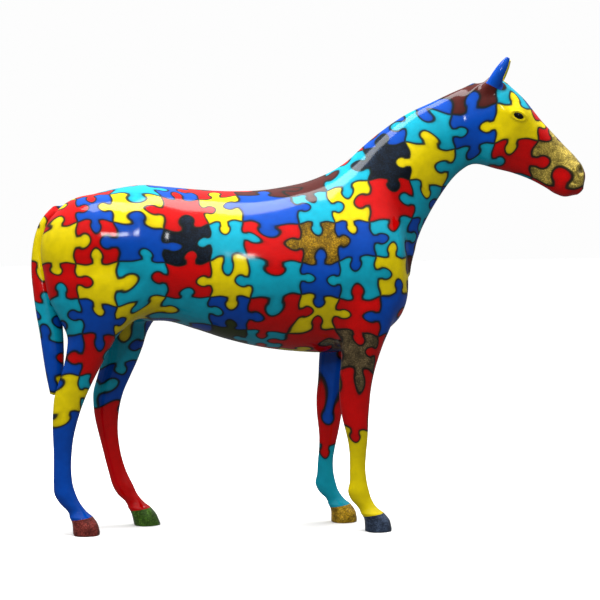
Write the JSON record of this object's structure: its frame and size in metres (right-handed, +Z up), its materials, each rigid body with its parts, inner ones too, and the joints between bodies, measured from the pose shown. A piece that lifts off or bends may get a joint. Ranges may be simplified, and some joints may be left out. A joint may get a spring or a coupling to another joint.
{
  "type": "horse sculpture",
  "caption": "Life-size standing horse sculpture, smooth-bodied, head turned a little to its right, painted all over in jigsaw pieces under gloss, with plain lower legs and glitter hooves.",
  "frame": {"origin": "on the ground, under the middle of the figure's bounding box", "axes": "+X towards the head, +Y to the horse's left (the far side in the picture), +Z up"},
  "size_m": [2.4808, 0.5896, 2.0959],
  "materials": {
    "painted_resin": "hand-painted jigsaw pieces in blue, yellow, red and teal with dark soft joints, a few glitter and maroon pieces, plain-coloured lower legs and glitter hooves, all under a clear gloss coat"
  },
  "bodies": {
    "root": {"horse": "painted_resin"}
  },
  "joints": []
}
